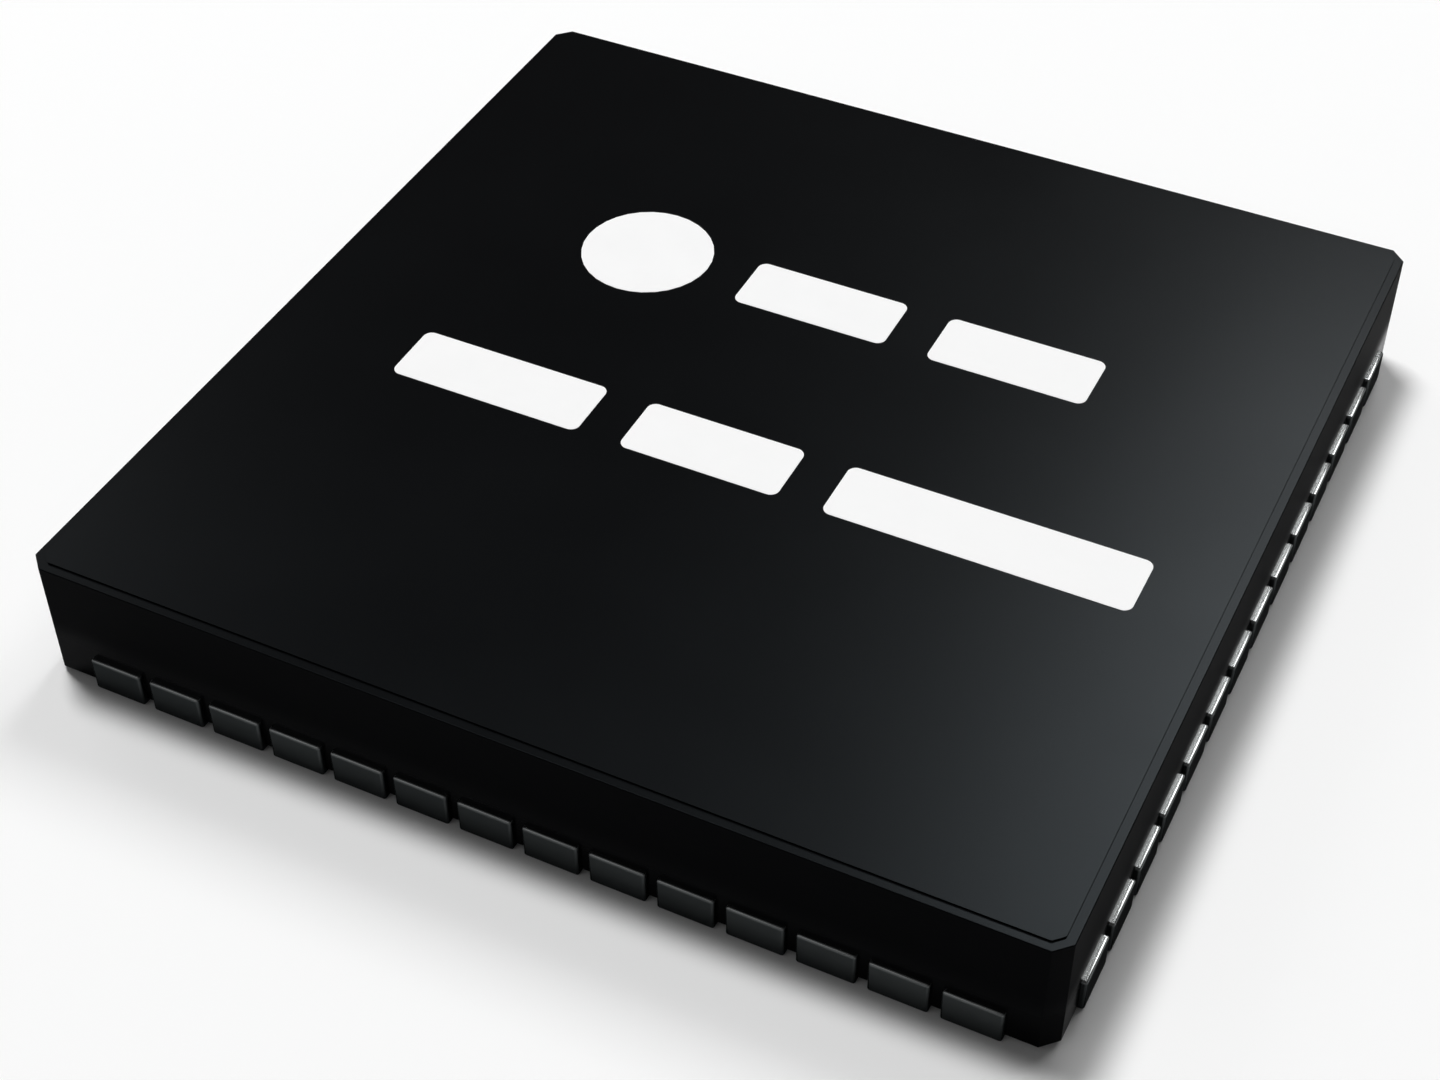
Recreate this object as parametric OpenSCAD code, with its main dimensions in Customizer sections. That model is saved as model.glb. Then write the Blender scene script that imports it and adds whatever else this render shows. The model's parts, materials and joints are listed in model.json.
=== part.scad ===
// Square leadless chip package: an epoxy body moulded round an etched metal lead frame, with a
// silicon die on the frame's paddle and a bond wire from the die to every lead.
// Millimetres. The origin is the middle of the seating plane, with the body above it.
// Leads are numbered anticlockwise from above, starting at the -X +Y corner.

/* [Leads] */
// Leads along each wall
leads_per_side = 14; // [8:1:14]
// Width of a lead
lead_width = 0.42; // [0.20:0.01:0.60]
// Gap between neighbouring leads
lead_gap = 0.08; // [0.05:0.01:0.40]
// How far each row is set from the middle of its wall, anticlockwise from above
row_shift = 0.04; // [0:0.01:0.10]
// How far a lead's end stands out of the wall
lead_proud = 0.04; // [0.03:0.01:0.15]
// Length of the full-thickness foot inside the wall
lead_foot = 0.34; // [0.20:0.01:0.50]
// Length of the half-etched tongue that the moulding grips
lead_tongue = 0.235; // [0.10:0.005:0.40]
// Radius on a lead's edges
lead_edge_radius = 0.02; // [0.01:0.005:0.05]

/* [Lead frame] */
// Depth etched away under the tongues and under the paddle's rim
etch_depth = 0.14; // [0.08:0.01:0.20]
// Metal left above the etching
etched_thickness = 0.14; // [0.10:0.01:0.20]
// Radius that the etching leaves in its inner corners
etch_radius = 0.06; // [0.01:0.01:0.08]
// Gap between the tongues and the paddle's rim
paddle_gap = 0.30; // [0.15:0.01:0.60]
// Width of the paddle's half-etched rim
paddle_rim = 0.15; // [0.08:0.01:0.40]
// Leg of the cut corner on the pad's underside, beside lead one
lead_one_cut = 0.40; // [0.20:0.05:0.80]
// Width of the tie bars at the paddle's corners
tie_bar_width = 0.12; // [0.08:0.01:0.20]
// Gap between a tie bar and the corner leads
tie_bar_gap = 0.08; // [0.05:0.01:0.15]
// Moulding left over the end of a tie bar
tie_bar_cover = 0.15; // [0.05:0.01:0.40]

/* [Body] */
// Height of the moulding
body_height = 0.99; // [0.80:0.01:1.60]
// Length of bare wall between the last lead and the corner, before the row is shifted
corner_margin = 0.375; // [0.30:0.005:0.80]
// Leg of the cut on each upright corner
corner_cut = 0.11; // [0.05:0.01:0.25]
// Radius of the rounded edge at the top of the walls
top_edge_radius = 0.01; // [0.01:0.01:0.15]
// Width of the flat ledge between that edge and the small step round the top
ledge_width = 0.06; // [0.01:0.01:0.30]
// Height of that step
panel_step = 0.015; // [0.005:0.005:0.03]
// Height of the moulding's underside above the seating plane
standoff = 0.04; // [0.01:0.01:0.08]

/* [Die and wires] */
// Paddle left bare round the die, rim included
die_setback = 1.15; // [0.40:0.05:1.60]
// Thickness of the die
die_thickness = 0.25; // [0.10:0.01:0.35]
// From the die's edge to the middle of its bond pads
bond_inset = 0.10; // [0.06:0.01:0.20]
// From the die's corner to the last bond pad, along the edge
bond_margin = 0.30; // [0.15:0.05:0.60]
// Diameter of a bond wire
wire_diameter = 0.03; // [0.02:0.005:0.05]
// Height of a wire's loop above the die
loop_height = 0.16; // [0.10:0.01:0.24]
// From a tongue's end, or a corner lead's mitre, to the wire's stitch
stitch_setback = 0.09; // [0.06:0.01:0.15]

/* [Hidden] */
// Facets of true arcs, and how far a cut runs past the face that it cuts
arc_fn = 32;
past = 0.1;

// Rows of leads, and the body that they set the size of
lead_count = 4 * leads_per_side;
lead_pitch = lead_width + lead_gap;
row_half = (leads_per_side - 1) * lead_pitch / 2;
body_half = row_half + lead_width / 2 + corner_margin;
corner_reach = (2 * body_half - corner_cut) / sqrt(2);
panel_inset = top_edge_radius + ledge_width;

// Lead frame, as distances from the middle of the package
frame_thickness = etch_depth + etched_thickness;
lead_end = body_half + lead_proud;
foot_end = body_half - lead_foot;
tongue_end = foot_end - lead_tongue;
rim_half = tongue_end - paddle_gap;
paddle_half = rim_half - paddle_rim;
mitre = sqrt(2) * (tie_bar_width / 2 + tie_bar_gap);
// The most that a rounding may take of the metal it is on, and of the etching it is in
edge_share = 0.33;
etch_share = 0.9;
edge_radius = min(lead_edge_radius, lead_proud, edge_share * min(frame_thickness, lead_width));
inner_radius = min(etch_radius, etch_share * min(etch_depth, lead_tongue, paddle_rim));

// Die and wires
die_half = rim_half - die_setback;
die_top = frame_thickness + die_thickness;
bond_row_half = die_half - min(bond_margin, die_half / 2);
stitch = max(tongue_end, row_half + row_shift + mitre) + stitch_setback;
wire_radius = wire_diameter / 2;
// Half width and height of the ball, in wire diameters
ball_spread = 1.2;
ball_rise = 0.5;
ball_radius = ball_spread * wire_diameter;
ball_height = ball_rise * wire_diameter;
wire_sides = 6;
loop_steps = 5;
// A loop's Bezier handles: their height in loop heights, and the reach of the second in wire spans
loop_pull = 1.5;
loop_reach = 0.5;
// Length of the stitch, in wire diameters
stitch_stretch = 2;

function lead_name(number) = str("lead_", number < 10 ? "0" : "", number);
function lead_side(number) = floor((number - 1) / leads_per_side);
function lead_offset(number) = ((number - 1) % leads_per_side) * lead_pitch - row_half + row_shift;
function is_corner_lead(offset) = abs(offset) + lead_width / 2 > tongue_end - mitre;

// A strip along +X from the origin, centred on the X axis, with its two far corners rounded
module round_ended(length, width, radius) {
    translate([0, -width / 2])
        square([length - radius, width]);
    translate([0, radius - width / 2])
        square([length, width - 2 * radius]);
    for (side = [-1, 1])
        translate([length - radius, side * (width / 2 - radius)])
            circle(radius, $fn = arc_fn);
}

// Turns what is drawn at the +X wall to the wall of a numbered lead
module at_wall(number) {
    rotate((lead_side(number) - 2) * 90)
        children();
}

// Section through the moulding below the step, standing on its underside, with both top corners rounded
module mould_section(width) {
    rotate(90)
        round_ended(body_height - panel_step, width, top_edge_radius);
}

// Plan of the flat top inside the step
module panel_plan() {
    intersection_for (turn = [0, 45])
        rotate(turn)
            square(2 * ((turn == 0 ? body_half : corner_reach) - panel_inset), center = true);
}

// The moulding before anything is set in it: four crossing sections make the cut-cornered block
module mould_block() {
    translate([0, 0, standoff]) {
        intersection_for (turn = [0 : 45 : 135])
            rotate(turn)
                rotate([90, 0, 0])
                    linear_extrude(4 * body_half, center = true)
                        mould_section(2 * (turn % 90 == 0 ? body_half : corner_reach));
        translate([0, 0, body_height / 2])
            linear_extrude(body_height / 2)
                panel_plan();
    }
}

module mould_body() {
    color("#17191a")
        difference() {
            mould_block();
            for (number = [1 : lead_count])
                lead(number);
            die_paddle();
            die();
            bond_wires();
        }
}

// Side view of a lead: rounded end outside, etched step under the tongue
module lead_side_view() {
    difference() {
        translate([tongue_end, frame_thickness / 2])
            round_ended(lead_end - tongue_end, frame_thickness, edge_radius);
        translate([tongue_end - past, 0])
            round_ended(lead_tongue + past, 2 * etch_depth, inner_radius);
    }
}

// Plan of a lead: the end's upright edges rounded, and a mitre where it would meet a tie bar
module lead_plan(offset) {
    intersection() {
        translate([tongue_end, offset])
            round_ended(lead_end - tongue_end, lead_width, edge_radius);
        if (is_corner_lead(offset))
            polygon([[mitre, 0], [2 * lead_end, 2 * lead_end - mitre], [2 * lead_end, mitre - 2 * lead_end]]);
    }
}

// End view of a lead: its four long edges rounded
module lead_end_view() {
    for (turn = [0, 180])
        rotate(turn)
            round_ended(lead_width / 2, frame_thickness, edge_radius);
}

module lead(number) {
    offset = lead_offset(number);
    color("#3a3e40")
        at_wall(number)
            intersection() {
                translate([0, offset, 0])
                    rotate([90, 0, 0])
                        linear_extrude(lead_width, center = true)
                            lead_side_view();
                linear_extrude(frame_thickness)
                    lead_plan(offset);
                translate([tongue_end, offset, frame_thickness / 2])
                    rotate([90, 0, 90])
                        linear_extrude(lead_end - tongue_end)
                            lead_end_view();
            }
}

// Section through the paddle: full thickness over the pad, etched away under the rim
module paddle_section() {
    difference() {
        translate([-rim_half, 0])
            square([2 * rim_half, frame_thickness]);
        for (turn = [0, 180])
            rotate(turn)
                translate([-rim_half - past, 0])
                    round_ended(paddle_rim + past, 2 * etch_depth, inner_radius);
    }
}

module die_paddle() {
    color("#3a3e40") {
        difference() {
            intersection_for (turn = [0, 90])
                rotate(turn)
                    rotate([90, 0, 0])
                        linear_extrude(2 * rim_half, center = true)
                            paddle_section();
            rotate(135)
                translate([sqrt(2) * paddle_half - lead_one_cut / sqrt(2), -rim_half, -past])
                    cube([rim_half, 2 * rim_half, etch_depth + past]);
        }
        for (turn = [45 : 90 : 315])
            rotate(turn)
                translate([rim_half, -tie_bar_width / 2, etch_depth])
                    cube([corner_reach - tie_bar_cover - rim_half, tie_bar_width, etched_thickness]);
    }
}

module die() {
    color("#6d7276")
        translate([-die_half, -die_half, frame_thickness])
            cube([2 * die_half, 2 * die_half, die_thickness]);
}

// Bezier through one wire's span, as [along the span, height], and its direction
function loop_handles(span) =
    let (top = die_top + loop_pull * loop_height)
    [[0, die_top + 2 * ball_height], [0, top], [loop_reach * span, top], [span, frame_thickness]];
function loop_point(b, t) =
    pow(1 - t, 3) * b[0] + 3 * t * pow(1 - t, 2) * b[1] + 3 * t * t * (1 - t) * b[2] + pow(t, 3) * b[3];
function loop_direction(b, t) =
    pow(1 - t, 2) * (b[1] - b[0]) + 2 * t * (1 - t) * (b[2] - b[1]) + t * t * (b[3] - b[2]);

// Rings of a wire as [centre, upward half-axis, sideways half-axis] in the plane of its span:
// the ball on the die, the loop, and the stitch flat on the lead
function loop_ring(b, t) =
    let (along = loop_direction(b, t), up = [-along[1], along[0]] / norm(along))
    [loop_point(b, t), wire_radius * up, wire_radius];
function wire_rings(span) =
    let (b = loop_handles(span))
    concat(
        [for (height = [0, ball_height]) [[0, die_top + height], [-ball_radius, 0], ball_radius]],
        [for (step = [0 : loop_steps - 1]) loop_ring(b, step / loop_steps)],
        [[b[3], [stitch_stretch * wire_radius, 0], wire_radius]]
    );

// One wire as a swept solid between two points given as [x, y]
module wire(from, to) {
    span = norm(to - from);
    forward = (to - from) / span;
    left = [-forward[1], forward[0]];
    rings = wire_rings(span);
    last = len(rings) - 1;
    points = [
        for (ring = rings, corner = [0 : wire_sides - 1])
        let (
            angle = 360 * corner / wire_sides,
            along = ring[0][0] + sin(angle) * ring[1][0],
            height = ring[0][1] + sin(angle) * ring[1][1],
            plan = from + along * forward + cos(angle) * ring[2] * left
        )
        [plan[0], plan[1], height]
    ];
    function at(ring, corner) = ring * wire_sides + corner % wire_sides;
    walls = [
        for (ring = [0 : last - 1], corner = [0 : wire_sides - 1])
        each [
            [at(ring, corner), at(ring + 1, corner), at(ring, corner + 1)],
            [at(ring, corner + 1), at(ring + 1, corner), at(ring + 1, corner + 1)]
        ]
    ];
    foot = [for (corner = [0 : wire_sides - 1]) at(0, corner)];
    head = [for (corner = [wire_sides - 1 : -1 : 0]) at(last, corner)];
    polyhedron(points, concat(walls, [foot, head]));
}

module bond_wires() {
    color("#c9a24a")
        for (number = [1 : lead_count])
            at_wall(number)
                wire(
                    [die_half - bond_inset, lead_offset(number) * bond_row_half / row_half],
                    [stitch, lead_offset(number)]
                );
}

mould_body();
die_paddle();
die();
bond_wires();
for (number = [1 : lead_count])
    lead(number);
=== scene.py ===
# %% [markdown]
# # A leadless chip package, dressed for its portrait
#
# The part is a small microcontroller in a square leadless package. A black epoxy body is moulded
# round an etched metal lead frame, and only the ends of the leads and the pad underneath show.
# The solids come in as a fixed frame. This lesson gives them the finish that a camera would see:
# finely rounded edges, a satin moulding, plated metal, white ink, and a plain studio round them.

# %% Load the frame
import json
import math

import bmesh
import bpy
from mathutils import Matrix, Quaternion, Vector

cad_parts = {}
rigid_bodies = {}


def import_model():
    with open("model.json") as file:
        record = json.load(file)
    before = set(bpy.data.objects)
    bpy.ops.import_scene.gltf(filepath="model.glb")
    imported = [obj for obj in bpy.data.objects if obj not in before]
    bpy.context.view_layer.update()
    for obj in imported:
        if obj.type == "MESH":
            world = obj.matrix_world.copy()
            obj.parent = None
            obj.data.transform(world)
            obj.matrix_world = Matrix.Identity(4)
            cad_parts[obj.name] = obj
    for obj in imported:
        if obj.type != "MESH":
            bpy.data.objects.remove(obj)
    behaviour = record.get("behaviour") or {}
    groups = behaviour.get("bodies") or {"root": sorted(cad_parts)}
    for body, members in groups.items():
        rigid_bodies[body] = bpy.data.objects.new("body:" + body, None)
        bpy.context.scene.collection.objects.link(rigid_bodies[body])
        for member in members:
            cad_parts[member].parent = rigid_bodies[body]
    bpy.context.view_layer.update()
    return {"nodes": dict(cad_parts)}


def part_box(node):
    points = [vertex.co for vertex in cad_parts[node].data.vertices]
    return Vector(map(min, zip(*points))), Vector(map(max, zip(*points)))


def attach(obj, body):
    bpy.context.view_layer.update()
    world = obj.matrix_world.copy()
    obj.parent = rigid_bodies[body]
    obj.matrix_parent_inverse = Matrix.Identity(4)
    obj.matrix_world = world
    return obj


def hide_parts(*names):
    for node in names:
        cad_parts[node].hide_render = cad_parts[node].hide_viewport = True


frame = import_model()
MM = 0.001

# %% [markdown]
# ## Sizes from the solids
#
# A package like this is drawn once and then repeated along four walls, so a handful of sizes sets
# everything. They could be typed in again, but reading them off the solids keeps the looks in step
# with the construction. Roundings and steps are too small to show in a box, so each is named, in
# millimetres, in the step that needs it.

# %% Measure the solids
body_low, body_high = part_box("mould_body")
body_half = body_high.x
underside = body_low.z
top = body_high.z

LEADS_PER_WALL = 14
FIRST_FRONT_LEAD = LEADS_PER_WALL + 1
first_low, first_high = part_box(f"lead_{FIRST_FRONT_LEAD:02d}")
next_low, next_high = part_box(f"lead_{FIRST_FRONT_LEAD + 1:02d}")
lead_width = next_high.x - next_low.x
lead_thickness = next_high.z - next_low.z
lead_end = -next_low.y
tongue_end = -next_high.y
lead_pitch = next_low.x - first_low.x
first_lead = (first_low.x + first_high.x) / 2
last_lead = first_lead + (LEADS_PER_WALL - 1) * lead_pitch
print("body half:", round(body_half / MM, 3), "lead pitch:", round(lead_pitch / MM, 3),
      "first lead at:", round(first_lead / MM, 3))

# %% [markdown]
# ## Nodes in one line each
#
# Every finish below is a small node tree. It could be clicked together by hand, but a tree in code
# can be read and made again. A few helpers add a node, set its plain values and link what comes from
# another node, so that a material reads as a list of what it is made of. All noise is fed with object
# coordinates in millimetres, so a scale of 40 means forty ripples in a millimetre.

# %% Helpers for any tree
def set_inputs(tree, node, values):
    """Sets a node's inputs. A value that is a socket is linked, and any other is set."""
    for key, value in values.items():
        socket = node.inputs[key]
        if isinstance(value, bpy.types.NodeSocket):
            tree.links.new(value, socket)
        else:
            socket.default_value = value


def add(tree, kind, values=None, **settings):
    """Adds a node, with its settings and its inputs."""
    node = tree.nodes.new(kind)
    for name, value in settings.items():
        setattr(node, name, value)
    set_inputs(tree, node, values or {})
    return node


def ramp(tree, value, start, end, low, high, kind="LINEAR"):
    """Maps a value from the range between start and end to the range from low to high."""
    values = {"Value": value, "From Min": start, "From Max": end, "To Min": low, "To Max": high}
    return add(tree, "ShaderNodeMapRange", values, interpolation_type=kind).outputs["Result"]


# %% Helpers for materials
NOISE_LOW, NOISE_HIGH = 0.3, 0.7


def stretched(tree, vector, factors):
    """Coordinates times a factor along X, Y and Z. A small factor draws a pattern out that way."""
    values = {0: vector, 1: factors}
    return add(tree, "ShaderNodeVectorMath", values, operation="MULTIPLY").outputs["Vector"]


def new_material(name):
    """A material with an empty tree, its surface node, and object coordinates in millimetres."""
    material = bpy.data.materials.new(name)
    material.use_nodes = True
    tree = material.node_tree
    tree.nodes.clear()
    surface = add(tree, "ShaderNodeBsdfPrincipled")
    add(tree, "ShaderNodeOutputMaterial", {"Surface": surface.outputs["BSDF"]})
    place = add(tree, "ShaderNodeTexCoord").outputs["Object"]
    return material, tree, surface, stretched(tree, place, (1 / MM,) * 3)


def noise(tree, vector, scale, detail=2.0, roughness=0.5):
    """Smooth noise from 0 to 1, with its scale in ripples per millimetre."""
    values = {"Vector": vector, "Scale": scale, "Detail": detail, "Roughness": roughness}
    return add(tree, "ShaderNodeTexNoise", values).outputs["Fac"]


def spread(tree, value, low, high):
    """Maps a noise value from its usual range to the range from low to high."""
    return ramp(tree, value, NOISE_LOW, NOISE_HIGH, low, high)


def colour_between(tree, share, first, second):
    """The first colour where the share is 0, the second where it is 1, and a mix between."""
    values = {"Factor": share, "A": first, "B": second}
    return add(tree, "ShaderNodeMix", values, data_type="RGBA").outputs["Result"]


def bump(tree, height, microns):
    """A surface normal tipped by a height of so many thousandths of a millimetre."""
    values = {"Height": height, "Distance": microns * MM / 1000, "Strength": 1.0}
    return add(tree, "ShaderNodeBump", values).outputs["Normal"]


# %% [markdown]
# ## The black moulding compound
#
# Moulding compound is epoxy, filled with glass powder and carbon black. The top takes the finish of
# the mould, which is polished and then lightly eroded, so it is satin: smooth at arm's length, and
# finely grained close up. The ledge round the top has the same grain, a little less bright from wear.
# The walls are cut when the packages are sawn apart, so they carry faint level lines. The blade
# burnishes them low down, where it cuts metal too, and leaves them duller above.
#
# One flat black would look like a hole in the picture, so a single function makes all three finishes
# from the same parts. They are a nearly black base, a slow noise that lets the gloss wander a little,
# as it does on a real moulding, and a fine bump. The bump is the grain or, drawn out level, the saw
# lines.

# %% Moulding compound
EPOXY_DARK = 0.0012, 0.0012, 0.0014, 1
EPOXY_PALE = 0.0024, 0.0024, 0.0027, 1
COOL_SHEEN = 0.85, 1.0, 1.09, 1
BURNISHED_TO, DULL_FROM = 0.27, 0.55


def dulled(tree, place, roughness, more):
    """Adds to a roughness above the leads, between two heights in millimetres."""
    height = add(tree, "ShaderNodeSeparateXYZ", {"Vector": place}).outputs["Z"]
    added = ramp(tree, height, BURNISHED_TO, DULL_FROM, 0.0, more, kind="SMOOTHSTEP")
    return add(tree, "ShaderNodeMath", {0: roughness, 1: added}, operation="ADD").outputs["Value"]


def make_compound(name, gloss, reflection, stretch, ripples, microns, dulling=0.0):
    """Black epoxy. Gloss is its lowest and highest roughness, and stretch draws the bump into lines."""
    material, tree, surface, place = new_material(name)
    cloud = noise(tree, place, scale=0.55, detail=3.0)
    grain = noise(tree, stretched(tree, place, stretch), scale=ripples, detail=3.0, roughness=0.6)
    roughness = spread(tree, cloud, *gloss)
    if dulling:
        roughness = dulled(tree, place, roughness, dulling)
    set_inputs(tree, surface, {
        "Base Color": colour_between(tree, grain, EPOXY_DARK, EPOXY_PALE),
        "Roughness": roughness,
        "Normal": bump(tree, grain, microns),
        "Specular IOR Level": reflection,
        "Specular Tint": COOL_SHEEN,
    })
    return material


# %% Three finishes of the compound
MOULD_GRAIN = {"stretch": (1, 1, 1), "ripples": 26.0, "microns": 0.08}
SAW_LINES = {"stretch": (0.06, 0.06, 1), "ripples": 40.0, "microns": 0.03}
satin = make_compound("satin_compound", gloss=(0.24, 0.27), reflection=0.09, **MOULD_GRAIN)
worn = make_compound("worn_compound", gloss=(0.24, 0.27), reflection=0.082, **MOULD_GRAIN)
sawn = make_compound("sawn_compound", gloss=(0.17, 0.21), reflection=0.012, dulling=0.45, **SAW_LINES)
print("made", satin.name, worn.name, "and", sawn.name)

# %% [markdown]
# ## The moulded body
#
# The body is one block with four cut corners and a crisp top edge. Round the top runs a narrow flat
# ledge, and a tiny step leads up from it to the main face, left where two inserts of the mould meet.
# A box with bevels would come close, but a bevel leaves no ledge of a set width. All of the body
# follows one rule: the same eight-sided outline at every height, only drawn in by a different amount.
# So it is lofted, ring by ring, from a short list of insets and heights. A ring just beyond each
# rounding keeps the flat faces truly flat when the shading is smooth.

# %% Helpers for meshes
SHARP_ANGLE = math.radians(50)


def put_in_scene(thing):
    """Links an object to the scene and returns it."""
    bpy.context.scene.collection.objects.link(thing)
    return thing


def new_piece(name, mesh, material):
    """An object at the origin, with its place in its mesh."""
    mesh.materials.append(material)
    return put_in_scene(bpy.data.objects.new(name, mesh))


def mesh_from_points(name, vertices, faces):
    """A mesh from points in metres and from faces that count those points."""
    mesh = bpy.data.meshes.new(name)
    mesh.from_pydata(vertices, [], faces)
    mesh.validate()
    return mesh


def mesh_from_shape(name, shape):
    """Turns a bmesh into a mesh, and lets the bmesh go."""
    mesh = bpy.data.meshes.new(name)
    shape.to_mesh(mesh)
    shape.free()
    return mesh


def shade_smooth(mesh):
    """Shades a mesh smoothly, apart from its sharp edges."""
    mesh.polygons.foreach_set("use_smooth", [True] * len(mesh.polygons))
    mesh.set_sharp_from_angle(angle=SHARP_ANGLE)


# %% Rings of the body
CORNER_CUT = 0.11 * MM
UPRIGHT_RADIUS = 0.012 * MM
UPRIGHT_STEPS = 4
SIDES = 8


def body_ring(inset, height):
    """The eight-sided outline of the body, drawn in by an inset, with its upright edges softened."""
    corner_reach = (2 * body_half - CORNER_CUT) / math.sqrt(2)
    reach = [side - inset - UPRIGHT_RADIUS for side in [body_half, corner_reach] * (SIDES // 2)]
    turn = 2 * math.pi / SIDES
    points = []
    for side in range(SIDES):
        here, after = reach[side], reach[(side + 1) % SIDES]
        along = (after - here * math.cos(turn)) / math.sin(turn)
        angle = side * turn
        centre_x = here * math.cos(angle) - along * math.sin(angle)
        centre_y = here * math.sin(angle) + along * math.cos(angle)
        for step in range(UPRIGHT_STEPS + 1):
            lean = angle + turn * step / UPRIGHT_STEPS
            x = centre_x + UPRIGHT_RADIUS * math.cos(lean)
            y = centre_y + UPRIGHT_RADIUS * math.sin(lean)
            points.append((x, y, height))
    return points


# %% Profile of the body
LEDGE_WIDTH = 0.07 * MM
STEP = 0.015 * MM
BROW_RADIUS = 0.006 * MM
BROW_STEPS = 4
UNDERSIDE_RADIUS = 0.008 * MM
UNDERSIDE_STEPS = 3
SUPPORT = 0.004 * MM


def arc(centre_inset, centre_height, radius, start, end, steps):
    """Insets and heights along an arc between two angles, in degrees up from straight outward."""
    found = []
    for step in range(steps + 1):
        angle = math.radians(start + (end - start) * step / steps)
        found.append((centre_inset - radius * math.cos(angle), centre_height + radius * math.sin(angle)))
    return found


ledge = top - STEP
brow = ledge - BROW_RADIUS
heel = underside + UNDERSIDE_RADIUS
profile = [(UNDERSIDE_RADIUS + SUPPORT, underside)]
profile += arc(UNDERSIDE_RADIUS, heel, UNDERSIDE_RADIUS, -90, 0, UNDERSIDE_STEPS)
profile += [(0, heel + SUPPORT), (0, brow - SUPPORT)]
profile += arc(BROW_RADIUS, brow, BROW_RADIUS, 0, 90, BROW_STEPS)
profile += [(BROW_RADIUS + SUPPORT, ledge), (LEDGE_WIDTH, ledge), (LEDGE_WIDTH, top)]
print("rings in the body:", len(profile))

# %% Loft the body
rings = [body_ring(inset, height) for inset, height in profile]
around = len(rings[0])
vertices = [point for ring in rings for point in ring]
faces = [tuple(reversed(range(around)))]
for ring in range(len(rings) - 1):
    lower, upper = ring * around, (ring + 1) * around
    for point in range(around):
        beside = (point + 1) % around
        faces.append((lower + point, lower + beside, upper + beside, upper + point))
faces.append(tuple(range((len(rings) - 1) * around, len(rings) * around)))
body = new_piece("moulded_body", mesh_from_points("moulded_body", vertices, faces), satin)
shade_smooth(body.data)
print("body faces:", len(body.data.polygons))

# %% Finish of each face
SAWN, WORN = 1, 2
LEVEL = 0.99
body.data.materials.append(sawn)
body.data.materials.append(worn)
for face in body.data.polygons:
    if abs(face.normal.z) < LEVEL and face.center.z < ledge:
        face.material_index = SAWN
    elif brow < face.center.z < top - STEP / 4:
        face.material_index = WORN
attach(body, "root")
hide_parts("mould_body")
finishes = [face.material_index for face in body.data.polygons]
print("sawn faces:", finishes.count(SAWN), "worn faces:", finishes.count(WORN))

# %% [markdown]
# ## Plated metal
#
# The lead frame is copper with a thin pale plating on its flat faces. The ends of the leads are cut
# through it, so they are bare and duller. Their near-black colour is painted shade: bare metal is much
# brighter, and the dark base stands in for the dark reflections that the cut faces show. A metal has
# no colour under its shine: what it shows is what it reflects, and the base only sets how much of it
# comes back. Fine upright streaks are what the cutting edge leaves behind.
#
# Two materials could share a lead, but they would meet in a hard line. Here two values stored on the
# leads steer a single finish. One is how much plating is left at each point, which also sets where the
# painted shade goes. The other is a tone that makes neighbours differ a little, because no two cuts are
# alike.

# %% Lead metal
# The bare colours are painted shade: much darker than bare metal, they stand in for dark reflections.
BARE_SHADE_DARK, BARE_SHADE_PALE = (0.048, 0.052, 0.053, 1), (0.060, 0.065, 0.066, 1)
PLATED_DARK, PLATED_PALE = (0.57, 0.59, 0.59, 1), (0.63, 0.65, 0.65, 1)
DIM_RIM = 0.05, 0.05, 0.05, 1
BARE_ROUGHNESS = 0.40


def stored(tree, name):
    """A value that is stored on the points of a mesh."""
    return add(tree, "ShaderNodeAttribute", attribute_name=name).outputs["Fac"]


def make_lead_metal():
    """Pale plating that gives way to bare metal, painted dark as shade."""
    material, tree, surface, place = new_material("plated_lead")
    cloud = noise(tree, place, scale=5.0, detail=3.0)
    streaks = noise(tree, stretched(tree, place, (1.0, 1.0, 0.08)), scale=34.0)
    tone = stored(tree, "tone")
    plating_and_shade = stored(tree, "plating_and_shade")
    bare_shade = colour_between(tree, tone, BARE_SHADE_DARK, BARE_SHADE_PALE)
    plated = colour_between(tree, tone, PLATED_DARK, PLATED_PALE)
    shine = {"Factor": plating_and_shade, "A": BARE_ROUGHNESS, "B": spread(tree, cloud, low=0.18, high=0.24)}
    # The base runs from pale plating to bare metal painted dark as shade.
    set_inputs(tree, surface, {
        "Base Color": colour_between(tree, plating_and_shade, bare_shade, plated),
        "Roughness": add(tree, "ShaderNodeMix", shine).outputs["Result"],
        "Normal": bump(tree, streaks, microns=0.03),
        "Metallic": 1.0,
        "Specular Tint": DIM_RIM,
    })
    return material


lead_metal = make_lead_metal()
print("made", lead_metal.name)

# %% [markdown]
# ## Three shapes of lead
#
# Each lead is a short bar. Its full-thickness foot ends just outside the wall, and a thinner tongue
# runs inwards, where the epoxy grips it. The leads beside a corner are mitred to clear the tie bar
# there. So three shapes do for all fifty-six. They differ only in plan, so each could be cut from a
# longer bar, but it is simpler to draw the plan and pull it up to its thickness. A bevel then rounds
# every edge of the foot, and a small inset on each flat face keeps it flat.

# %% Helpers that make a rounded bar
FLAT_FROM = 20


def pull_up(shape, plan, low, high):
    """Adds a closed prism to a bmesh."""
    floor_ring = [shape.verts.new((x, y, low)) for x, y in plan]
    roof_ring = [shape.verts.new((x, y, high)) for x, y in plan]
    shape.faces.new(list(reversed(floor_ring)))
    shape.faces.new(roof_ring)
    for here in range(len(plan)):
        beside = (here + 1) % len(plan)
        shape.faces.new((floor_ring[here], floor_ring[beside], roof_ring[beside], roof_ring[here]))


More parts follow.
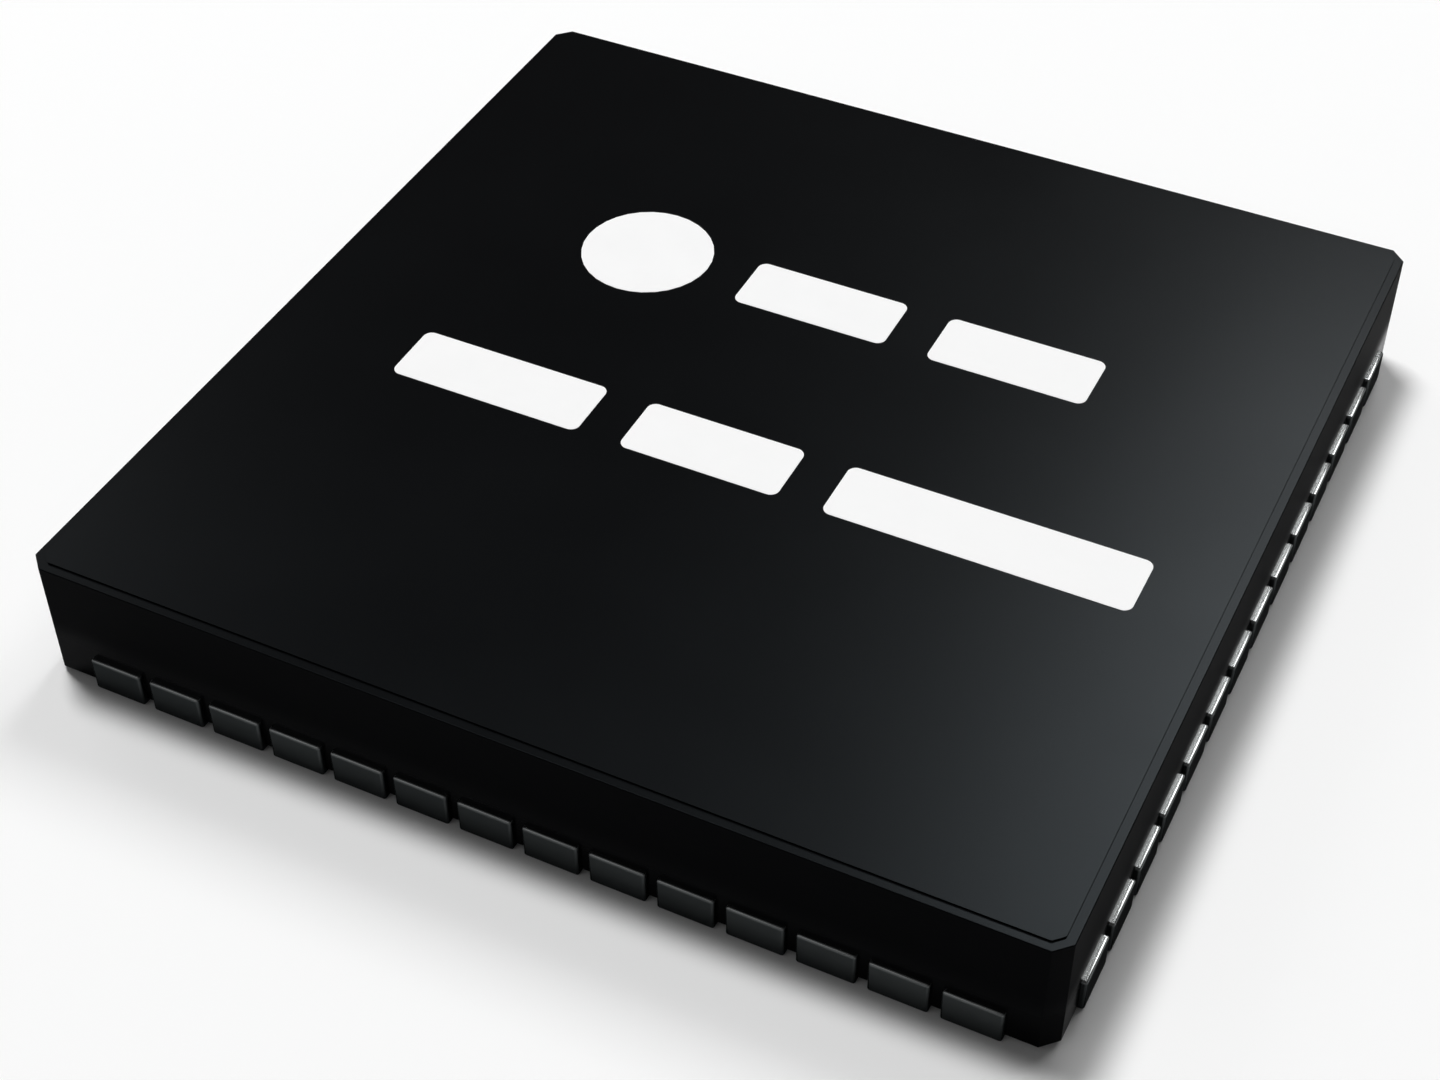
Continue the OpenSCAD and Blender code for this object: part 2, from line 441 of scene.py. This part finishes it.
def round_edges(shape, radius, segments):
    """Rounds every edge of a shape, and then frames its flat faces with a narrow border.

    A face counts as flat if it is larger than a number of squares on the radius."""
    bmesh.ops.bevel(shape, geom=shape.edges[:], offset=radius, segments=segments, profile=0.5,
                    affect="EDGES")
    flat = [face for face in shape.faces if face.calc_area() > FLAT_FROM * radius * radius]
    bmesh.ops.inset_individual(shape, faces=flat, thickness=SUPPORT)


# %% Plan of a lead
MITRE = 0.198 * MM


def clip_plan(left, right, inner, outer, mitre_left, mitre_right):
    """The plan of a lead between two distances from the middle, cut back along the diagonals."""
    plan = [(inner, left), (outer, left), (outer, right), (inner, right)]
    if mitre_left:
        at_inner, at_left = -(inner - MITRE), MITRE - left
        plan[0:1] = [(inner, at_inner), (at_left, left)]
    if mitre_right:
        at_inner, at_right = inner - MITRE, MITRE + right
        plan[-1:] = [(at_right, right), (inner, at_inner)]
    return plan


# %% Plating and painted shade on a lead
LEAD_RADIUS = 0.02 * MM
PLATED_TOP = 0.06, 0.50
PLATED_FOOT = 0.0, 0.04


def fade(depth, start, end):
    """1 on a face, falling to 0 round its edge. Start and end are shares of the edge's radius."""
    return min(max((end - depth / LEAD_RADIUS) / (end - start), 0), 1)


def plated_unshaded_share(height):
    """How much plating is left at a height on a lead: all of it on its top and under its foot. Where none is
    left, the lead is painted dark as shade.
    """
    return max(fade(lead_thickness - height, *PLATED_TOP), fade(height, *PLATED_FOOT))


# %% Make the three shapes
LEAD_FOOT = 0.34 * MM
LEAD_STEPS = 5
ETCH_DEPTH = 0.14 * MM
GRIP = 0.05 * MM
foot_end = body_half - LEAD_FOOT
tongue_root = foot_end + GRIP


def lead_shape(name, offset, mitre_left=False, mitre_right=False):
    """One lead at the +X wall, drawn with its own middle on the X axis."""
    left, right = offset - lead_width / 2, offset + lead_width / 2
    foot = clip_plan(left, right, foot_end, lead_end, mitre_left, mitre_right)
    shape = bmesh.new()
    pull_up(shape, foot, 0, lead_thickness)
    round_edges(shape, LEAD_RADIUS, LEAD_STEPS)
    inner_left = max(left, -(tongue_end - MITRE)) if mitre_left else left
    inner_right = min(right, tongue_end - MITRE) if mitre_right else right
    if inner_left < inner_right:
        tongue = [(tongue_end, inner_left), (tongue_root, inner_left),
                  (tongue_root, inner_right), (tongue_end, inner_right)]
        pull_up(shape, tongue, ETCH_DEPTH, lead_thickness - LEAD_RADIUS)
    bmesh.ops.translate(shape, verts=shape.verts, vec=(0, -offset, 0))
    bmesh.ops.recalc_face_normals(shape, faces=shape.faces)
    mesh = mesh_from_shape(name, shape)
    shade_smooth(mesh)
    # Where this share is low, the lead takes its painted shade colour.
    plating_and_shade = mesh.attributes.new("plating_and_shade", "FLOAT", "POINT")
    plating_and_shade.data.foreach_set("value", [plated_unshaded_share(vertex.co.z) for vertex in mesh.vertices])
    mesh.materials.append(lead_metal)
    return bpy.data.objects.new(name, mesh)


plain_lead = lead_shape("plain_lead", 0)
first_corner_lead = lead_shape("first_corner_lead", first_lead, mitre_left=True)
last_corner_lead = lead_shape("last_corner_lead", last_lead, mitre_right=True)
print("faces in a plain lead:", len(plain_lead.data.polygons))

# %% [markdown]
# ## Fifty-six leads by Geometry Nodes
#
# A row of leads is a pattern, and so are four rows. A loop could place them one by one, but a tree
# keeps the rule in sight, with its sizes as named inputs. It lays a line of points along one wall,
# puts the right shape on each, and then turns that row to all four walls. It gives each lead its own
# tone from a fixed seed. The last nodes make the copies real and give them their metal, because what
# leaves Blender is plain mesh.

# %% One row
def add_row(tree, given):
    """A line of points along the +X wall, with the right shape of lead on each."""
    start = add(tree, "ShaderNodeCombineXYZ", {"Y": given["First lead"]}).outputs["Vector"]
    stride = add(tree, "ShaderNodeCombineXYZ", {"Y": given["Pitch"]}).outputs["Vector"]
    count = given["Leads per wall"]
    spacing = {"Count": count, "Start Location": start, "Offset": stride}
    line = add(tree, "GeometryNodeMeshLine", spacing).outputs["Mesh"]
    index = add(tree, "GeometryNodeInputIndex").outputs["Index"]
    last = add(tree, "ShaderNodeMath", {0: count, 1: 1.0}, operation="SUBTRACT").outputs[0]
    at_first = add(tree, "FunctionNodeCompare", {"A": index, "B": 0.5}, operation="LESS_THAN").outputs[0]
    at_last = add(tree, "FunctionNodeCompare", {"A": index, "B": last}, operation="GREATER_EQUAL").outputs[0]
    between = add(tree, "FunctionNodeBooleanMath", {0: at_first, 1: at_last}, operation="NOR").outputs[0]
    row = add(tree, "GeometryNodeJoinGeometry")
    for name, chosen in (("Plain", between), ("First", at_first), ("Last", at_last)):
        shape = add(tree, "GeometryNodeObjectInfo", {"Object": given[name]}).outputs["Geometry"]
        values = {"Points": line, "Selection": chosen, "Instance": shape}
        placed = add(tree, "GeometryNodeInstanceOnPoints", values).outputs["Instances"]
        tree.links.new(placed, row.inputs["Geometry"])
    return row.outputs["Geometry"]


# %% Four rows
WALLS = 4


def add_ring(tree, row):
    """The row turned to all four walls, as real geometry."""
    index = add(tree, "GeometryNodeInputIndex").outputs["Index"]
    turn = add(tree, "ShaderNodeMath", {0: index, 1: 2 * math.pi / WALLS}, operation="MULTIPLY").outputs[0]
    facing = add(tree, "ShaderNodeCombineXYZ", {"Z": turn}).outputs["Vector"]
    walls = add(tree, "GeometryNodePoints", {"Count": WALLS}).outputs[0]
    values = {"Points": walls, "Instance": row, "Rotation": facing}
    ring = add(tree, "GeometryNodeInstanceOnPoints", values).outputs["Instances"]
    return add(tree, "GeometryNodeRealizeInstances", {"Geometry": ring}).outputs["Geometry"]


def add_tones(tree, leads, seed):
    """A random tone for each lead, stored on its points."""
    island = add(tree, "GeometryNodeInputMeshIsland").outputs["Island Index"]
    tone = add(tree, "FunctionNodeRandomValue", {"ID": island, "Seed": seed}, data_type="FLOAT")
    values = {"Geometry": leads, "Name": "tone", "Value": tone.outputs["Value"]}
    toned = add(tree, "GeometryNodeStoreNamedAttribute", values, data_type="FLOAT", domain="POINT")
    return toned.outputs["Geometry"]


# %% The whole tree
TREE_INPUTS = {
    "Leads per wall": "NodeSocketInt",
    "Pitch": "NodeSocketFloat",
    "First lead": "NodeSocketFloat",
    "Plain": "NodeSocketObject",
    "First": "NodeSocketObject",
    "Last": "NodeSocketObject",
    "Metal": "NodeSocketMaterial",
    "Seed": "NodeSocketInt",
}


def lead_ring_tree():
    """A tree that makes all the leads from its named inputs."""
    tree = bpy.data.node_groups.new("lead_ring", "GeometryNodeTree")
    for name, kind in TREE_INPUTS.items():
        tree.interface.new_socket(name, in_out="INPUT", socket_type=kind)
    tree.interface.new_socket("Leads", in_out="OUTPUT", socket_type="NodeSocketGeometry")
    given = add(tree, "NodeGroupInput").outputs
    toned = add_tones(tree, add_ring(tree, add_row(tree, given)), given["Seed"])
    metal = add(tree, "GeometryNodeSetMaterial", {"Geometry": toned, "Material": given["Metal"]})
    add(tree, "NodeGroupOutput", {"Leads": metal.outputs["Geometry"]})
    return tree


# %% Grow the leads and keep them as plain mesh
TONE_SEED = 7


def grow(name, tree, **sizes):
    """Runs a tree on an empty object and returns what it makes as a plain mesh object."""
    pattern = name + "_pattern"
    seed_object = put_in_scene(bpy.data.objects.new(pattern, bpy.data.meshes.new(pattern)))
    modifier = seed_object.modifiers.new("pattern", "NODES")
    modifier.node_group = tree
    for socket in tree.interface.items_tree:
        if socket.in_out == "INPUT":
            modifier[socket.identifier] = sizes[socket.name.lower().replace(" ", "_")]
    grown = seed_object.evaluated_get(bpy.context.evaluated_depsgraph_get())
    mesh = bpy.data.meshes.new_from_object(grown)
    mesh.name = name
    bpy.data.objects.remove(seed_object)
    return put_in_scene(bpy.data.objects.new(name, mesh))


leads = grow("leads", lead_ring_tree(), leads_per_wall=LEADS_PER_WALL, pitch=lead_pitch,
             first_lead=first_lead, plain=plain_lead, first=first_corner_lead, last=last_corner_lead,
             metal=lead_metal, seed=TONE_SEED)
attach(leads, "root")
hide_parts(*[name for name in frame["nodes"] if name.startswith("lead_")])
print("lead faces:", len(leads.data.polygons), "materials:", [m.name for m in leads.data.materials])

# %% [markdown]
# ## The pad, the die and the wires
#
# The pad underneath is plated as the flat faces of the leads are, but it was rolled, so it shows the
# faint lines of the rolling. The silicon die and the gold wires are closed in by the epoxy. All three
# could be modelled again, but their solids already have the right shape. So they keep it and only get
# a finish, for anyone who lifts the lid.

# %% Pad metal
PAD_DARK, PAD_PALE = (0.46, 0.47, 0.47, 1), (0.56, 0.57, 0.57, 1)


def make_pad_metal():
    """Pale plating over rolled metal."""
    material, tree, surface, place = new_material("rolled_pad")
    lines = noise(tree, stretched(tree, place, (0.05, 1.0, 1.0)), scale=14.0, detail=3.0)
    cloud = noise(tree, place, scale=0.8, detail=3.0)
    set_inputs(tree, surface, {
        "Base Color": colour_between(tree, cloud, PAD_DARK, PAD_PALE),
        "Roughness": spread(tree, lines, low=0.30, high=0.42),
        "Normal": bump(tree, lines, microns=0.3),
        "Metallic": 1.0,
    })
    return material


# %% Silicon and gold
SILICON_GREY = 0.10, 0.11, 0.13, 1
GOLD = 0.86, 0.57, 0.22, 1


def make_silicon():
    """Polished silicon, divided into blocks."""
    material, tree, surface, place = new_material("silicon")
    cells = add(tree, "ShaderNodeTexVoronoi", {"Vector": place, "Scale": 5.0}, distance="CHEBYCHEV")
    blocks = cells.outputs["Distance"]
    set_inputs(tree, surface, {
        "Base Color": SILICON_GREY,
        "Roughness": spread(tree, blocks, low=0.12, high=0.26),
        "Normal": bump(tree, blocks, microns=0.4),
        "Metallic": 0.6,
    })
    return material


def make_gold():
    """Fine gold wire, with the marks of drawing."""
    material, tree, surface, place = new_material("gold_wire")
    drawn = noise(tree, place, scale=30.0)
    set_inputs(tree, surface, {
        "Base Color": GOLD,
        "Roughness": spread(tree, drawn, low=0.18, high=0.30),
        "Normal": bump(tree, drawn, microns=0.2),
        "Metallic": 1.0,
    })
    return material


# %% Finish the solids
FINISHES = {
    "die_paddle": (make_pad_metal(), "lead_metal"),
    "die": (make_silicon(), "silicon"),
    "bond_wires": (make_gold(), "gold_wire"),
}
for name, (finish, slot) in FINISHES.items():
    solid = frame["nodes"][name]
    solid.data.materials.clear()
    solid.data.materials.append(finish)
print("finished solids:", list(FINISHES))

# %% [markdown]
# ## The white marking
#
# Packages are marked with a thin film of white ink, pressed on by a pad and baked. Here it is a plain
# pattern of a disc and bars in two rows. It could be a mask in the black finish, but then it would have
# no thickness and no clean edge. So each mark is a flat outline, raised by a few thousandths of a
# millimetre. The ink is matt and not quite even.

# %% Ink
INK_DARK, INK_PALE = (0.90, 0.90, 0.90, 1), (0.94, 0.94, 0.94, 1)


def make_ink():
    """Matt white ink."""
    material, tree, surface, place = new_material("white_ink")
    cloud = noise(tree, place, scale=3.0, detail=4.0)
    set_inputs(tree, surface, {
        "Base Color": colour_between(tree, cloud, INK_DARK, INK_PALE),
        "Roughness": spread(tree, cloud, low=0.55, high=0.70),
        "Normal": bump(tree, noise(tree, place, scale=30.0), microns=0.3),
        "Specular IOR Level": 0.2,
    })
    return material


# %% Places of the marks
UPPER_ROW, LOWER_ROW = 1.21, -0.69
BAR, BAR_CORNER = 0.54, 0.07
DISC, DISC_LEFT = 1.06, -2.13
MARKS = [
    # left and right end, middle of the row, height and corner radius in millimetres
    (DISC_LEFT, DISC_LEFT + DISC, UPPER_ROW, DISC, DISC / 2),
    (-0.72, 0.55, UPPER_ROW, BAR, BAR_CORNER),
    (0.90, 2.17, UPPER_ROW, BAR, BAR_CORNER),
    (-2.65, -1.07, LOWER_ROW, BAR, BAR_CORNER),
    (-0.72, 0.55, LOWER_ROW, BAR, BAR_CORNER),
    (0.90, 3.20, LOWER_ROW, BAR, BAR_CORNER),
]
print("marks:", len(MARKS))

# %% Print the marks
INK_THICKNESS = 0.003 * MM
CORNER_STEPS = 8


def bar_outline(left, right, low, high, radius):
    """A bar with rounded corners, as points in plan."""
    points = []
    corners = [(right - radius, low + radius, -90), (right - radius, high - radius, 0),
               (left + radius, high - radius, 90), (left + radius, low + radius, 180)]
    for x, y, start in corners:
        for step in range(CORNER_STEPS + 1):
            angle = math.radians(start + 90 * step / CORNER_STEPS)
            points.append((x + radius * math.cos(angle), y + radius * math.sin(angle)))
    return points


film = bmesh.new()
for left, right, middle, tall, radius in MARKS:
    low, high = (middle - tall / 2) * MM, (middle + tall / 2) * MM
    outline = bar_outline(left * MM, right * MM, low, high, radius * MM)
    pull_up(film, outline, top - INK_THICKNESS, top + INK_THICKNESS)
marking = new_piece("marking", mesh_from_shape("marking", film), make_ink())
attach(marking, "root")
print("faces in the marks:", len(marking.data.polygons))

# %% [markdown]
# ## The studio
#
# The part stands on a plain white floor. The room is pale near the horizon and dim overhead, so that
# a black top doesn't pick up a grey veil. An even glow from all sides would be simpler, but black
# plastic and metal are seen by what they mirror, so they need lamps with an edge. Large lamps stand
# far off compared with the part, which keeps the floor evenly lit. Each is placed by its bearing,
# clockwise from straight behind the part, and its height above the floor. Its brightness is counted
# in sheets of white paper.

# %% Floor
FLOOR_SIZE = 1.2
FLOOR_DROP = 0.002 * MM
PAPER_WHITE = 0.97, 0.97, 0.97, 1


def make_floor():
    """White paper with a little fibre in its gloss."""
    material, tree, surface, place = new_material("floor_paper")
    fibre = noise(tree, place, scale=0.4, detail=4.0)
    set_inputs(tree, surface, {
        "Base Color": PAPER_WHITE,
        "Roughness": spread(tree, fibre, low=0.80, high=0.90),
        "Specular IOR Level": 0.1,
    })
    return material


half = FLOOR_SIZE / 2
floor_plan = [(-half, -half), (half, -half), (half, half), (-half, half)]
floor_corners = [(x, y, -FLOOR_DROP) for x, y in floor_plan]
floor = new_piece("floor", mesh_from_points("floor", floor_corners, [(0, 1, 2, 3)]), make_floor())
print("floor of", FLOOR_SIZE, "m")

# %% Room
ROOM_HORIZON, ROOM_OVERHEAD = 0.95, 0.05
PALE_TO, DIM_FROM = 0.03, 0.25
WHITE = 1, 1, 1, 1


def make_room():
    """A room that dims between two heights, given as the upward share of a direction."""
    world = bpy.data.worlds.new("room")
    world.use_nodes = True
    tree = world.node_tree
    tree.nodes.clear()
    direction = add(tree, "ShaderNodeTexCoord").outputs["Generated"]
    height = add(tree, "ShaderNodeSeparateXYZ", {"Vector": direction}).outputs["Z"]
    glow = ramp(tree, height, PALE_TO, DIM_FROM, ROOM_HORIZON, ROOM_OVERHEAD, kind="SMOOTHSTEP")
    sky = add(tree, "ShaderNodeBackground", {"Color": WHITE, "Strength": glow})
    add(tree, "ShaderNodeOutputWorld", {"Surface": sky.outputs["Background"]})
    return world


bpy.context.scene.world = make_room()
print("room from", ROOM_HORIZON, "at the horizon to", ROOM_OVERHEAD, "overhead")

# %% Helpers for lamps
LAMP_DISTANCE = 0.3
LAMP_AIM = Vector((0, 0, 0.0005))


def rolled(facing, degrees):
    """A rotation, with a roll about its own axis of view."""
    return facing @ Quaternion((0, 0, 1), math.radians(degrees))


def direction_to(bearing, height):
    """The direction of a lamp from its bearing and its height, both in degrees."""
    turn, rise = math.radians(bearing), math.radians(height)
    return Vector((math.sin(turn) * math.cos(rise), math.cos(turn) * math.cos(rise), math.sin(rise)))


def add_lamp(name, bearing, height, roll, width, depth, brightness):
    """A rectangular lamp that faces the part and isn't seen by the camera."""
    light = bpy.data.lights.new(name, "AREA")
    light.shape = "RECTANGLE"
    light.size, light.size_y = width, depth
    light.energy = brightness * math.pi * width * depth
    lamp = put_in_scene(bpy.data.objects.new(name, light))
    away = direction_to(bearing, height)
    lamp.location = LAMP_AIM + LAMP_DISTANCE * away
    lamp.rotation_mode = "QUATERNION"
    lamp.rotation_quaternion = rolled(away.to_track_quat("Z", "Y"), roll)
    lamp.visible_camera = False
    return light


# %% Lamps
LAMPS = {
    # bearing, height and roll in degrees, width and depth in metres, brightness
    "high_softbox": (-58, 70, 0, 0.07, 0.07, 39.0),
    "back_window": (-4.8, 47.6, -15.6, 0.060, 0.10, 9.9),
    "back_card": (21, 46, -15, 0.10, 0.13, 3.2),
    "left_fill": (-58.6, 34.3, 0, 0.09, 0.09, 2.1),
    "front_fill": (-148, 42, 0, 0.25, 0.20, 0.25),
}
for name, settings in LAMPS.items():
    light = add_lamp(name, *settings)
    print(name, "gives", round(light.energy, 4), "W")

# %% [markdown]
# ## The camera
#
# The portrait is taken from above the front, a little to the right, with a roll of less than half a
# degree. A view without perspective would look like a drawing, and a wide lens would swell the near
# corner. So the lens is a little longer than normal, which keeps the far edges almost parallel. Depth
# of field stays off: everything is sharp.

# %% Camera
CAMERA_PLACE = Vector((5.9283, -12.6055, 12.7943)) * MM
CAMERA_AIM = Vector((0.1436, -1.0289, 0.5)) * MM
CAMERA_ROLL = -0.416
SENSOR_WIDTH, FOCAL_LENGTH = 36.0, 61.225
NEAREST = 0.5 * MM
camera_data = bpy.data.cameras.new("portrait")
camera_data.sensor_width = SENSOR_WIDTH
camera_data.lens = FOCAL_LENGTH
camera_data.clip_start = NEAREST
camera = put_in_scene(bpy.data.objects.new("portrait", camera_data))
camera.location = CAMERA_PLACE
camera.rotation_mode = "QUATERNION"
camera.rotation_quaternion = rolled((CAMERA_AIM - CAMERA_PLACE).to_track_quat("-Z", "Y"), CAMERA_ROLL)
bpy.context.scene.camera = camera
bpy.context.scene.view_settings.view_transform = "Standard"
print("camera to aim:", round((CAMERA_AIM - CAMERA_PLACE).length / MM, 3), "mm")
